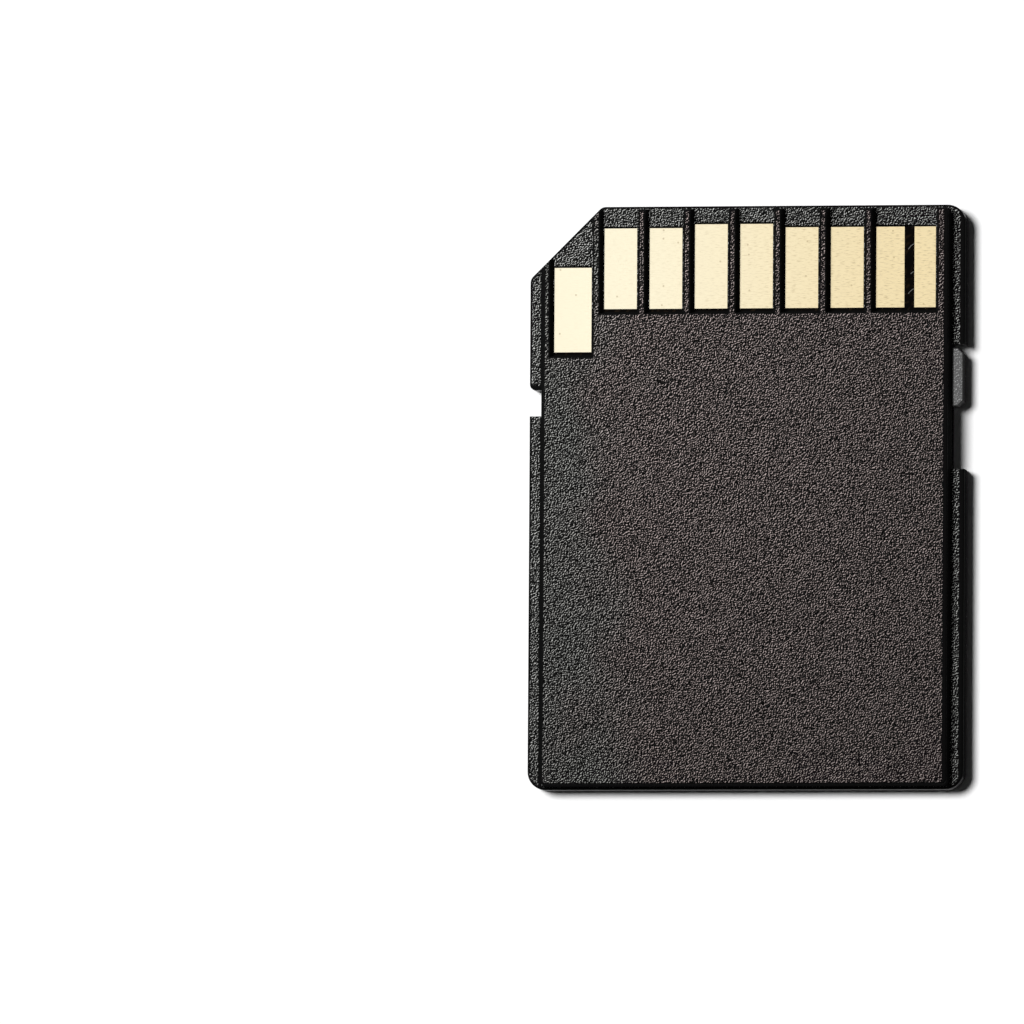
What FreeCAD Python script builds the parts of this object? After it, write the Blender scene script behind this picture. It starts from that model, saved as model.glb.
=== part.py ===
import FreeCAD, Part
import os
import Sketcher

# Full-size memory card, lying on its label face with the contacts up.
# X runs across the card, with the write-protect slider on +X.
# Y runs along it, with the contact end on +Y. Z is the thickness, from the label face at 0.
# All sizes are millimetres, and this table is their only home.
SIZES = {
    # The whole card
    "card_width": 24.0,
    "card_length": 32.0,
    "card_thickness": 2.1,
    "corner_cut": 3.95,
    "cut_radius": 0.5,
    "corner_radius": 1.0,
    "edge_radius": 0.15,
    # The thin guide rails beside the raised body
    "rail_width": 0.75,
    "rail_thickness": 1.4,
    "body_corner_radius": 0.35,
    "body_edge_radius": 0.1,
    "draft_angle": 10.0,
    # The walls of the two moulded covers
    "seam_height": 0.7,
    "seam_chamfer": 0.04,
    "floor_wall": 0.3,
    "side_wall": 0.5,
    "tail_wall": 2.3,
    "corner_wall": 0.55,
    "hollow_depth": 0.3,
    "hollow_ledge": 0.6,
    "stiffener_width": 0.6,
    # The locating pins between the covers
    "pin_radius": 0.3,
    "pin_height": 0.25,
    "pin_gap": 0.05,
    "pin_setback": 1.2,
    # The contact windows and the ribs between them
    "contact_pitch": 2.5,
    "comb_offset": 0.75,
    "rib_root": 0.6,
    "lip_depth": 1.1,
    "supply_lead": 0.2,
    "window_end": 5.82,
    "corner_window_end": 8.18,
    "window_left_margin": 1.3,
    "window_right_margin": 1.58,
    "window_ledge": 0.03,
    # The nine contacts
    "contact_thickness": 0.05,
    "contact_gap": 0.02,
    "contact_margin": 0.19,
    "last_contact_width": 1.17,
    "last_contact_spacing": 0.55,
    # The circuit board and what it carries
    "board_thickness": 0.4,
    "board_gap": 0.08,
    "support_width": 0.8,
    "support_inset": 0.6,
    "lead_support_start": 2.6,
    "tail_support_start": 0.6,
    "chip_clearance": 0.1,
    "chip_chamfer": 0.1,
    "dot_radius": 0.3,
    "dot_depth": 0.05,
    "dot_inset": 0.9,
    "memory_width": 13.0,
    "memory_length": 11.5,
    "controller_width": 6.0,
    "controller_length": 5.0,
    "controller_start": 5.4,
    "controller_shift": 4.2,
    "chip_spacing": 0.9,
    "capacitor_length": 1.6,
    "capacitor_width": 0.8,
    "capacitor_height": 0.45,
    "capacitor_start": 7.7,
    "capacitor_pitch": 1.9,
    "resistor_length": 1.0,
    "resistor_width": 0.5,
    "resistor_height": 0.35,
    "resistor_start": 4.5,
    "resistor_pitch": 1.4,
    "terminal_length": 0.25,
    "terminal_plating": 0.03,
    "passive_spacing": 1.2,
    # The lock notch on the -X rail
    "notch_start": 10.05,
    "notch_length": 1.45,
    "notch_depth": 0.65,
    "notch_radius": 0.3,
    # The write-protect slider and its recess in the +X rail
    "recess_start": 7.65,
    "recess_length": 6.85,
    "slider_end_gap": 0.2,
    "slider_gap": 0.06,
    "knob_length": 3.2,
    "knob_inset": 0.1,
    "knob_bevel": 0.3,
    "knob_edge_radius": 0.08,
    "tongue_length": 2.6,
    "tongue_thickness": 0.38,
    "flange_width": 0.6,
    # The label and the finger grip on the label face
    "label_side_margin": 1.46,
    "label_lead_margin": 3.55,
    "label_tail_margin": 2.5,
    "label_radius": 0.7,
    "label_thickness": 0.08,
    "label_gap": 0.04,
    "recess_depth": 0.1,
    "grip_width": 18.3,
    "grip_height": 1.5,
    "grip_flat": 0.08,
    "grip_tail_margin": 0.53,
    "grip_depth": 0.2,
}

RIB_COUNT = 7
MIDDLE_RIB = 3
SUPPLY_WINDOWS = (2, 3)
HOLLOW_COUNT = 3
CAPACITOR_COUNT = 4
RESISTOR_COUNT = 6
OVERCUT = "1"

# Heights above the label face
BOARD_TOP = "(Sizes.rail_thickness - Sizes.contact_thickness)"
BOARD_UNDERSIDE = f"({BOARD_TOP} - Sizes.board_thickness)"
SLIT_HALF = "(Sizes.tongue_thickness / 2 + Sizes.slider_gap)"

# Places across the card
HALF_WIDTH = "(Sizes.card_width / 2)"
BODY_SIDE = f"({HALF_WIDTH} - Sizes.rail_width)"
CAVITY_SIDE = f"({BODY_SIDE} - Sizes.side_wall)"
WINDOW_LEFT = f"(Sizes.window_left_margin - {HALF_WIDTH})"
WINDOW_RIGHT = f"({HALF_WIDTH} - Sizes.window_right_margin)"
FLANGE_INSIDE = f"({CAVITY_SIDE} - Sizes.slider_gap - Sizes.flange_width)"

# Places along the card
HALF_LENGTH = "(Sizes.card_length / 2)"
CAVITY_TAIL = f"(Sizes.tail_wall - {HALF_LENGTH})"
CAVITY_LEAD = f"({HALF_LENGTH} - Sizes.lip_depth)"
SUPPLY_LEAD = f"({CAVITY_LEAD} + Sizes.supply_lead)"
CORNER_LEAD = (
    f"({HALF_LENGTH} - Sizes.corner_cut + Sizes.rail_width + Sizes.side_wall - Sizes.corner_wall)"
)
WINDOW_TAIL = f"({HALF_LENGTH} - Sizes.window_end)"
CORNER_WINDOW_TAIL = f"({HALF_LENGTH} - Sizes.corner_window_end)"
CONTROLLER_TAIL = f"({HALF_LENGTH} - Sizes.controller_start - Sizes.controller_length)"
NOTCH_LEAD = f"({HALF_LENGTH} - Sizes.notch_start)"
NOTCH_TAIL = f"({NOTCH_LEAD} - Sizes.notch_length)"
RECESS_LEAD = f"({HALF_LENGTH} - Sizes.recess_start)"
RECESS_TAIL = f"({RECESS_LEAD} - Sizes.recess_length)"
KNOB_MIDDLE = f"({RECESS_LEAD} - Sizes.slider_end_gap - Sizes.knob_length / 2)"
SLIT_STOP = "((Sizes.knob_length - Sizes.tongue_length) / 2)"


def rib_centre(index):
    """X of one of the ribs between the contact windows, counted from the corner cut."""
    return f"(Sizes.contact_pitch * {index - MIDDLE_RIB} - Sizes.comb_offset)"


def rib_side(index, sign, ledge=""):
    """X of one flank of a rib at its root, with an optional ledge beyond it."""
    return f"({rib_centre(index)} {sign} (Sizes.rib_root / 2{ledge}))"


# The document and its sheet of sizes

def make_sheet(doc):
    """Write each size in a cell of its own, under its name."""
    sheet = doc.addObject("Spreadsheet::Sheet", "Sizes")
    for row, (name, value) in enumerate(SIZES.items(), start=1):
        sheet.set(f"A{row}", name)
        sheet.set(f"B{row}", str(value))
        sheet.setAlias(f"B{row}", name)
    doc.recompute()


def value_of(doc, expression):
    """Number that an expression on the sheet gives now."""
    return float(doc.Sizes.evalExpression(expression))


# Sketches and features

def make_body(doc, name):
    """Empty body for one piece of the card."""
    body = doc.addObject("PartDesign::Body", name)
    body.Label = name
    return body


def make_sketch(body, name, height):
    """Sketch parallel to the label face, at a height above it."""
    sketch = body.newObject("Sketcher::SketchObject", name)
    ground = [plane for plane in body.Origin.OriginFeatures if plane.Role == "XY_Plane"]
    sketch.AttachmentSupport = [(ground[0], "")]
    sketch.MapMode = "FlatFace"
    sketch.setExpression("AttachmentOffset.Base.z", height)
    return sketch


def bind(sketch, kind, *items):
    """Add a sketch constraint whose last item is the expression that drives it."""
    value = value_of(sketch.Document, items[-1])
    index = sketch.addConstraint(Sketcher.Constraint(kind, *items[:-1], value))
    sketch.setExpression(f"Constraints[{index}]", items[-1])


def draw_outline(sketch, corners):
    """Closed outline through corners given as (x, y), or (x, y, radius) for a rounded one.

    The two sides of a rounded corner run along X and Y.
    """
    doc = sketch.Document
    points = [FreeCAD.Vector(value_of(doc, c[0]), value_of(doc, c[1]), 0) for c in corners]
    count = len(corners)
    starts = []
    ends = []
    for index, corner in enumerate(corners):
        reach = value_of(doc, corner[2]) if len(corner) == 3 else 0.0
        before = (points[index - 1] - points[index]).normalize()
        after = (points[(index + 1) % count] - points[index]).normalize()
        ends.append(points[index] + before * reach)
        starts.append(points[index] + after * reach)
    lines = []
    for index in range(count):
        following = (index + 1) % count
        lines.append(sketch.addGeometry(Part.LineSegment(starts[index], ends[following]), False))
    for index, corner in enumerate(corners):
        arriving = lines[index - 1]
        leaving = lines[index]
        if len(corner) == 2:
            sketch.addConstraint(Sketcher.Constraint("Coincident", arriving, 2, leaving, 1))
            bind(sketch, "DistanceX", -1, 1, leaving, 1, corner[0])
            bind(sketch, "DistanceY", -1, 1, leaving, 1, corner[1])
        else:
            round_corner(sketch, arriving, leaving, corner, ends[index], starts[index], points[index])


def round_corner(sketch, arriving, leaving, corner, begin, finish, point):
    """Arc between two sides of an outline that run along X and Y."""
    centre = begin + finish - point
    middle = centre + (point - centre).normalize() * (begin - centre).Length
    arc = sketch.addGeometry(Part.Arc(begin, middle, finish), False)
    arc_begins = sketch.getPoint(arc, 1).isEqual(begin, 1e-6)
    arc_ends = (1, 2) if arc_begins else (2, 1)
    sketch.addConstraint(Sketcher.Constraint("Tangent", arriving, 2, arc, arc_ends[0]))
    sketch.addConstraint(Sketcher.Constraint("Tangent", leaving, 1, arc, arc_ends[1]))
    bind(sketch, "Radius", arc, corner[2])
    arrives_along_x = abs(begin.y - point.y) < 1e-9
    along_x = (arriving, 2) if arrives_along_x else (leaving, 1)
    along_y = (leaving, 1) if arrives_along_x else (arriving, 2)
    bind(sketch, "DistanceY", -1, 1, *along_x, corner[1])
    bind(sketch, "DistanceX", -1, 1, *along_y, corner[0])


def draw_rectangle(sketch, left, right, tail, lead, radius=None):
    """Rectangle between two places across the card and two along it."""
    rounding = (radius,) if radius else ()
    corners = [(left, tail), (right, tail), (right, lead), (left, lead)]
    draw_outline(sketch, [corner + rounding for corner in corners])


def draw_circle(sketch, x, y, radius):
    """Circle about a place on the card."""
    doc = sketch.Document
    centre = FreeCAD.Vector(value_of(doc, x), value_of(doc, y), 0)
    ring = Part.Circle(centre, FreeCAD.Vector(0, 0, 1), value_of(doc, radius))
    circle = sketch.addGeometry(ring, False)
    bind(sketch, "DistanceX", -1, 1, circle, 3, x)
    bind(sketch, "DistanceY", -1, 1, circle, 3, y)
    bind(sketch, "Radius", circle, radius)


def pad(body, sketch, height, taper=None):
    """Raise a sketch by a height, with an optional draft on its walls."""
    feature = body.newObject("PartDesign::Pad", f"{sketch.Name}_pad")
    feature.Profile = sketch
    feature.setExpression("Length", height)
    if taper:
        feature.setExpression("TaperAngle", taper)
    body.Document.recompute()
    return feature


def pocket(body, sketch, depth):
    """Cut a sketch downwards by a depth."""
    before = body.Shape.Volume
    feature = body.newObject("PartDesign::Pocket", f"{sketch.Name}_pocket")
    feature.Profile = sketch
    feature.setExpression("Length", depth)
    body.Document.recompute()
    if body.Shape.Volume >= before:
        raise RuntimeError(f"{sketch.Name} cuts nothing")
    return feature


def dress(body, kind, name, edges, prop, size):
    """Fillet or chamfer some edges of the body as it stands."""
    base = body.Tip
    feature = body.newObject(f"PartDesign::{kind}", name)
    feature.Base = (base, edges)
    feature.setExpression(prop, size)
    body.Document.recompute()
    return feature


def edges_at_height(body, height):
    """Names of the edges that lie flat at a height."""
    level = value_of(body.Document, height)
    names = []
    for index, edge in enumerate(body.Shape.Edges, start=1):
        box = edge.BoundBox
        if abs(box.ZMin - level) < 1e-6 and abs(box.ZMax - level) < 1e-6:
            names.append(f"Edge{index}")
    return names


def upright_edges(body, places):
    """Names of the upright edges at some places on the card."""
    doc = body.Document
    spots = [(value_of(doc, x), value_of(doc, y)) for x, y in places]
    names = []
    for index, edge in enumerate(body.Shape.Edges, start=1):
        box = edge.BoundBox
        if box.XLength > 1e-6 or box.YLength > 1e-6:
            continue
        if any(abs(box.XMin - x) < 1e-6 and abs(box.YMin - y) < 1e-6 for x, y in spots):
            names.append(f"Edge{index}")
    return names


# Features that both covers share

def make_cover_base(doc, name, bottom, height):
    """Slab with the card's outline: three round corners and the cut corner."""
    body = make_body(doc, name)
    sketch = make_sketch(body, f"{name}_outline", bottom)
    cut_front = (f"Sizes.corner_cut - {HALF_WIDTH}", HALF_LENGTH)
    cut_side = (f"-{HALF_WIDTH}", f"{HALF_LENGTH} - Sizes.corner_cut")
    square = [
        (f"-{HALF_WIDTH}", f"-{HALF_LENGTH}"),
        (HALF_WIDTH, f"-{HALF_LENGTH}"),
        (HALF_WIDTH, HALF_LENGTH),
    ]
    draw_outline(sketch, square + [cut_front, cut_side])
    pad(body, sketch, height)
    dress(body, "Fillet", f"{name}_corners", upright_edges(body, square), "Radius", "Sizes.corner_radius")
    cut_ends = upright_edges(body, [cut_front, cut_side])
    dress(body, "Fillet", f"{name}_cut_ends", cut_ends, "Radius", "Sizes.cut_radius")
    return body


def cut_side_notches(body, top):
    """Cut the lock notch and the slider's recess through the rails, from a height down."""
    name = body.Name
    sketch = make_sketch(body, f"{name}_side_notches", top)
    notch_floor = f"Sizes.notch_depth - {HALF_WIDTH}"
    draw_rectangle(sketch, f"-{HALF_WIDTH} - {OVERCUT}", notch_floor, NOTCH_TAIL, NOTCH_LEAD)
    draw_rectangle(sketch, BODY_SIDE, f"{HALF_WIDTH} + {OVERCUT}", RECESS_TAIL, RECESS_LEAD)
    pocket(body, sketch, top)
    mouth = upright_edges(body, [(f"-{HALF_WIDTH}", NOTCH_LEAD)])
    dress(body, "Fillet", f"{name}_notch_mouth", mouth, "Radius", "Sizes.notch_radius")


def cut_slit(body, top, depth):
    """Cut the slot that the slider's tongue runs in through the wall behind its recess."""
    sketch = make_sketch(body, f"{body.Name}_slit", top)
    tail = f"{RECESS_TAIL} + {SLIT_STOP}"
    lead = f"{RECESS_LEAD} - {SLIT_STOP}"
    inside = f"{CAVITY_SIDE} - Sizes.slider_gap"
    outside = f"{BODY_SIDE} + Sizes.slider_gap"
    draw_rectangle(sketch, inside, outside, tail, lead)
    pocket(body, sketch, depth)


def pin_places():
    """Centres of the locating pins, two in the tail wall and two in the lip."""
    side = f"({CAVITY_SIDE} - Sizes.pin_setback)"
    tail = f"(Sizes.tail_wall / 2 - {HALF_LENGTH})"
    lead = f"({HALF_LENGTH} - Sizes.lip_depth / 2)"
    inner = f"({rib_centre(0)} + Sizes.pin_setback)"
    return [(f"-{side}", tail), (side, tail), (side, lead), (inner, lead)]


def board_corners(gap):
    """Corners of the room for the board, or of the board itself when a gap is taken off."""
    side = f"({CAVITY_SIDE} - {gap})"
    step = f"({rib_centre(0)} + {gap})"
    supply_left = f"({rib_centre(2)} + {gap})"
    supply_right = f"({rib_centre(4)} - {gap})"
    lead = f"({CAVITY_LEAD} - {gap})"
    supply = f"({SUPPLY_LEAD} - {gap})"
    corner = f"({CORNER_LEAD} - {gap})"
    tail = f"({CAVITY_TAIL} + {gap})"
    right_side = [(f"-{side}", tail), (side, tail)]
    front = [
        (side, lead),
        (supply_right, lead),
        (supply_right, supply),
        (supply_left, supply),
        (supply_left, lead),
        (step, lead),
        (step, corner),
        (f"-{side}", corner),
    ]
    return right_side, front


# The pieces

def make_front_cover(doc):
    """Label-side half of the case: a tray with the label recess and the finger grip outside."""
    body = make_cover_base(doc, "front_cover", "0", "Sizes.seam_height")
    rim = edges_at_height(body, "Sizes.seam_height")
    dress(body, "Chamfer", "front_seam", rim, "Size", "Sizes.seam_chamfer")
    dress(body, "Fillet", "front_edge", edges_at_height(body, "0"), "Radius", "Sizes.edge_radius")

    cavity = make_sketch(body, "front_cavity", "Sizes.seam_height")
    tail_side, lead_side = board_corners("0")
    draw_outline(cavity, tail_side + lead_side)
    pocket(body, cavity, "Sizes.seam_height - Sizes.floor_wall")

    supports = make_sketch(body, "board_supports", "Sizes.floor_wall")
    reach = f"({CAVITY_SIDE} - Sizes.support_inset)"
    tail_edge = f"({CAVITY_TAIL} + Sizes.tail_support_start)"
    draw_rectangle(supports, f"-{reach}", reach, tail_edge, f"{tail_edge} + Sizes.support_width")
    lead_edge = f"({HALF_LENGTH} - Sizes.lead_support_start)"
    inner_end = f"{rib_centre(0)} + Sizes.support_inset"
    draw_rectangle(supports, inner_end, reach, f"{lead_edge} - Sizes.support_width", lead_edge)
    pad(body, supports, f"{BOARD_UNDERSIDE} - Sizes.floor_wall")

    pins = make_sketch(body, "locating_pins", "Sizes.seam_height")
    for x, y in pin_places():
        draw_circle(pins, x, y, "Sizes.pin_radius")
    pad(body, pins, "Sizes.pin_height")

    label_room = make_sketch(body, "label_recess", "Sizes.recess_depth")
    draw_label(label_room, "Sizes.label_gap")
    pocket(body, label_room, "Sizes.recess_depth")

    grip = make_sketch(body, "finger_grip", "Sizes.grip_depth")
    grip_tail = f"(Sizes.grip_tail_margin - {HALF_LENGTH})"
    grip_round = "(Sizes.grip_height / 2 - Sizes.grip_flat)"
    half_grip = "(Sizes.grip_width / 2)"
    grip_lead = f"{grip_tail} + Sizes.grip_height"
    draw_rectangle(grip, f"-{half_grip}", half_grip, grip_tail, grip_lead, grip_round)
    pocket(body, grip, "Sizes.grip_depth")

    cut_side_notches(body, "Sizes.seam_height")
    cut_slit(body, "Sizes.seam_height", SLIT_HALF)
    return body


def draw_label(sketch, gap):
    """Outline of the label, grown by a gap."""
    side = f"({HALF_WIDTH} - Sizes.label_side_margin + {gap})"
    tail = f"(Sizes.label_tail_margin - {HALF_LENGTH} - {gap})"
    lead = f"({HALF_LENGTH} - Sizes.label_lead_margin + {gap})"
    draw_rectangle(sketch, f"-{side}", side, tail, lead, f"(Sizes.label_radius + {gap})")


def comb_corners():
    """Corners of the raised body, with the ribs between the contact windows as its teeth."""
    tail = f"(Sizes.edge_radius - {HALF_LENGTH})"
    lead = f"({HALF_LENGTH} - Sizes.edge_radius)"
    rounding = "Sizes.body_corner_radius"
    corners = [
        (f"-{BODY_SIDE}", tail, rounding),
        (BODY_SIDE, tail, rounding),
        (BODY_SIDE, lead, rounding),
        (WINDOW_RIGHT, lead),
        (WINDOW_RIGHT, WINDOW_TAIL),
    ]
    for index in reversed(range(RIB_COUNT)):
        left_floor = WINDOW_TAIL if index else CORNER_WINDOW_TAIL
        corners.append((rib_side(index, "+"), WINDOW_TAIL))
        corners.append((rib_side(index, "+"), lead))
        corners.append((rib_side(index, "-"), lead))
        corners.append((rib_side(index, "-"), left_floor))
    corners.append((WINDOW_LEFT, CORNER_WINDOW_TAIL))
    corners.append((WINDOW_LEFT, lead))
    corners.append((f"-{BODY_SIDE}", lead))
    return corners


def draw_windows(sketch):
    """Openings over the contacts, a ledge inside the roots of the ribs."""
    ledge = " + Sizes.window_ledge"
    left_end = f"({WINDOW_LEFT}{ledge})"
    right_end = f"({WINDOW_RIGHT} - Sizes.window_ledge)"
    tail = f"({WINDOW_TAIL}{ledge})"
    corner_tail = f"({CORNER_WINDOW_TAIL}{ledge})"
    draw_rectangle(sketch, left_end, rib_side(0, "-", ledge), corner_tail, CORNER_LEAD)
    for index in range(RIB_COUNT - 1):
        lead = SUPPLY_LEAD if index in SUPPLY_WINDOWS else CAVITY_LEAD
        draw_rectangle(sketch, rib_side(index, "+", ledge), rib_side(index + 1, "-", ledge), tail, lead)
    draw_rectangle(sketch, rib_side(RIB_COUNT - 1, "+", ledge), right_end, tail, CAVITY_LEAD)


def make_rear_cover(doc):
    """Contact-side half of the case: thin rails, a raised body and the comb of contact windows."""
    height = "Sizes.rail_thickness - Sizes.seam_height"
    body = make_cover_base(doc, "rear_cover", "Sizes.seam_height", height)
    rim = edges_at_height(body, "Sizes.seam_height")
    dress(body, "Chamfer", "rear_seam", rim, "Size", "Sizes.seam_chamfer")
    shoulder = edges_at_height(body, "Sizes.rail_thickness")
    dress(body, "Fillet", "rail_edge", shoulder, "Radius", "Sizes.edge_radius")

    comb = make_sketch(body, "raised_comb", "Sizes.rail_thickness")
    draw_outline(comb, comb_corners())
    body_height = "Sizes.card_thickness - Sizes.rail_thickness"
    pad(body, comb, body_height, "-Sizes.draft_angle")
    crest = edges_at_height(body, "Sizes.card_thickness")
    dress(body, "Fillet", "body_edge", crest, "Radius", "Sizes.body_edge_radius")

    trim = make_sketch(body, "corner_trim", "Sizes.card_thickness")
    reach = f"(Sizes.corner_cut + Sizes.edge_radius * sqrt(2) + {OVERCUT})"
    outside = f"-{HALF_WIDTH} - {OVERCUT}"
    beyond = f"{HALF_LENGTH} + {OVERCUT}"
    low_end = (outside, f"{HALF_LENGTH} - {reach}")
    high_end = (f"{reach} - {HALF_WIDTH}", beyond)
    draw_outline(trim, [low_end, high_end, (outside, beyond)])
    pocket(body, trim, body_height)

    cavity = make_sketch(body, "rear_cavity", BOARD_TOP)
    tail_side, lead_side = board_corners("0")
    draw_outline(cavity, tail_side + lead_side)
    pocket(body, cavity, BOARD_TOP)

    windows = make_sketch(body, "contact_windows", "Sizes.rail_thickness")
    draw_windows(windows)
    pocket(body, windows, "Sizes.rail_thickness")

    hollows = make_sketch(body, "roof_hollows", f"{BOARD_TOP} + Sizes.hollow_depth")
    edge = f"({CAVITY_SIDE} - Sizes.hollow_ledge)"
    step = f"((2 * {edge} + Sizes.stiffener_width) / {HOLLOW_COUNT})"
    for index in range(HOLLOW_COUNT):
        left = f"({step} * {index} - {edge})"
        right = f"({left} + {step} - Sizes.stiffener_width)"
        tail = f"{CAVITY_TAIL} + Sizes.hollow_ledge"
        draw_rectangle(hollows, left, right, tail, f"{CORNER_WINDOW_TAIL} - Sizes.hollow_ledge")
    pocket(body, hollows, "Sizes.hollow_depth")

    sockets = make_sketch(body, "pin_sockets", "Sizes.seam_height + Sizes.pin_height + Sizes.pin_gap")
    for x, y in pin_places():
        draw_circle(sockets, x, y, "Sizes.pin_radius + Sizes.pin_gap")
    pocket(body, sockets, "Sizes.pin_height + Sizes.pin_gap")

    cut_side_notches(body, "Sizes.rail_thickness")
    cut_slit(body, f"Sizes.seam_height + {SLIT_HALF}", SLIT_HALF)
    return body


def make_circuit_board(doc):
    """Board that fills the case, with a cut-out where the slider's flange runs."""
    body = make_body(doc, "circuit_board")
    sketch = make_sketch(body, "board_outline", BOARD_UNDERSIDE)
    tail_side, lead_side = board_corners("Sizes.board_gap")
    side = f"({CAVITY_SIDE} - Sizes.board_gap)"
    inside = f"({FLANGE_INSIDE} - Sizes.board_gap)"
    cut_out = [
        (side, RECESS_TAIL),
        (inside, RECESS_TAIL),
        (inside, RECESS_LEAD),
        (side, RECESS_LEAD),
    ]
    draw_outline(sketch, tail_side + cut_out + lead_side)
    pad(body, sketch, "Sizes.board_thickness")
    return body


def make_box(doc, name, low, size):
    """Rectangular block from its low corner and its three sizes."""
    box = doc.addObject("Part::Box", name)
    box.Label = name
    for prop, expression in zip(("Length", "Width", "Height"), size):
        box.setExpression(prop, expression)
    for axis, expression in zip("xyz", low):
        box.setExpression(f"Placement.Base.{axis}", expression)
    return box


def make_contacts(doc):
    """Nine gold contacts on the board, each between the flanks of its window."""
    ledge = " + Sizes.window_ledge + Sizes.contact_gap"
    inset = "(Sizes.board_gap + Sizes.contact_gap)"
    tail = f"({WINDOW_TAIL} + Sizes.contact_margin)"
    right_end = f"({WINDOW_RIGHT} - Sizes.window_ledge - Sizes.contact_gap)"
    split = f"({right_end} - Sizes.last_contact_width)"
    spans = []
    for index in range(RIB_COUNT - 1):
        lead = SUPPLY_LEAD if index in SUPPLY_WINDOWS else CAVITY_LEAD
        spans.append((rib_side(index, "+", ledge), rib_side(index + 1, "-", ledge), tail, lead))
    seventh_end = f"({split} - Sizes.last_contact_spacing)"
    spans.append((rib_side(RIB_COUNT - 1, "+", ledge), seventh_end, tail, CAVITY_LEAD))
    spans.append((split, right_end, tail, CAVITY_LEAD))
    corner_tail = f"({CORNER_WINDOW_TAIL} + Sizes.contact_margin)"
    spans.append((f"({WINDOW_LEFT}{ledge})", rib_side(0, "-", ledge), corner_tail, CORNER_LEAD))
    contacts = []
    for number, (left, right, back, lead) in enumerate(spans, start=1):
        size = (f"{right} - {left}", f"{lead} - {inset} - {back}", "Sizes.contact_thickness")
        contacts.append(make_box(doc, f"contact_{number}", (left, back, BOARD_TOP), size))
    return contacts


def make_chip(doc, name, middle, tail, width, length):
    """Moulded chip under the board, with chamfered edges and a dot at its first corner."""
    body = make_body(doc, name)
    base = "(Sizes.floor_wall + Sizes.chip_clearance)"
    sketch = make_sketch(body, f"{name}_outline", base)
    left = f"({middle} - {width} / 2)"
    draw_rectangle(sketch, left, f"{middle} + {width} / 2", tail, f"{tail} + {length}")
    pad(body, sketch, f"{BOARD_UNDERSIDE} - {base}")
    lower = edges_at_height(body, base)
    dress(body, "Chamfer", f"{name}_edges", lower, "Size", "Sizes.chip_chamfer")
    dot = make_sketch(body, f"{name}_dot", f"{base} + Sizes.dot_depth")
    draw_circle(dot, f"{left} + Sizes.dot_inset", f"{tail} + Sizes.dot_inset", "Sizes.dot_radius")
    pocket(body, dot, "Sizes.dot_depth")
    return body


def make_passive(doc, name, low_x, low_y, length, width, height):
    """Small ceramic part under the board, with a plated cap on each end, lying along X."""
    plating = "Sizes.terminal_plating"
    cap = "Sizes.terminal_length"
    low_z = f"{BOARD_UNDERSIDE} - {height}"
    core_low = (f"{low_x} + {plating}", f"{low_y} + {plating}", f"{low_z} + {plating}")
    core_size = (f"{length} - 2 * {plating}", f"{width} - 2 * {plating}", f"{height} - {plating}")
    core = make_box(doc, f"{name}_core", core_low, core_size)
    caps = []
    for end, start in enumerate((low_x, f"{low_x} + {length} - {cap}"), start=1):
        low = (start, low_y, low_z)
        caps.append(make_box(doc, f"{name}_cap_{end}", low, (cap, width, height)))
    fused = doc.addObject("Part::MultiFuse", name)
    fused.Label = name
    fused.Shapes = [core] + caps
    return fused


def make_passives(doc):
    """Rows of capacitors and resistors beside the controller."""
    first = "(Sizes.controller_width / 2 + Sizes.passive_spacing - Sizes.controller_shift)"
    parts = []
    rows = (("capacitor", CAPACITOR_COUNT), ("resistor", RESISTOR_COUNT))
    for kind, count in rows:
        length = f"Sizes.{kind}_length"
        width = f"Sizes.{kind}_width"
        low_y = f"({HALF_LENGTH} - Sizes.{kind}_start - {width})"
        for index in range(count):
            low_x = f"({first} + {index} * Sizes.{kind}_pitch)"
            name = f"{kind}_{index + 1}"
            parts.append(make_passive(doc, name, low_x, low_y, length, width, f"Sizes.{kind}_height"))
    return parts


def make_slider(doc):
    """Write-protect slider: a bevelled knob, a tongue through the slit and a flange behind it."""
    body = make_body(doc, "write_protect_slider")
    inner = f"({BODY_SIDE} + Sizes.slider_gap)"
    outer = f"({HALF_WIDTH} - Sizes.knob_inset)"
    shoulder = f"({outer} - Sizes.knob_bevel)"
    half = "(Sizes.knob_length / 2)"
    tip = f"({half} - Sizes.knob_bevel)"
    top = "(Sizes.rail_thickness - Sizes.knob_inset)"
    knob = make_sketch(body, "knob", "Sizes.knob_inset")
    corners = [
        (inner, f"{KNOB_MIDDLE} - {half}"),
        (shoulder, f"{KNOB_MIDDLE} - {half}"),
        (outer, f"{KNOB_MIDDLE} - {tip}"),
        (outer, f"{KNOB_MIDDLE} + {tip}"),
        (shoulder, f"{KNOB_MIDDLE} + {half}"),
        (inner, f"{KNOB_MIDDLE} + {half}"),
    ]
    draw_outline(knob, corners)
    pad(body, knob, f"{top} - Sizes.knob_inset")
    rims = edges_at_height(body, top) + edges_at_height(body, "Sizes.knob_inset")
    dress(body, "Fillet", "knob_edge", rims, "Radius", "Sizes.knob_edge_radius")

    tongue_tail = f"{KNOB_MIDDLE} - Sizes.tongue_length / 2"
    tongue_lead = f"{KNOB_MIDDLE} + Sizes.tongue_length / 2"
    tongue = make_sketch(body, "tongue", "Sizes.seam_height - Sizes.tongue_thickness / 2")
    draw_rectangle(tongue, FLANGE_INSIDE, shoulder, tongue_tail, tongue_lead)
    pad(body, tongue, "Sizes.tongue_thickness")

    flange_low = "Sizes.floor_wall + Sizes.slider_gap"
    flange = make_sketch(body, "flange", flange_low)
    flange_outside = f"{CAVITY_SIDE} - Sizes.slider_gap"
    draw_rectangle(flange, FLANGE_INSIDE, flange_outside, tongue_tail, tongue_lead)
    pad(body, flange, f"{BOARD_TOP} - Sizes.slider_gap - ({flange_low})")
    return body


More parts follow.
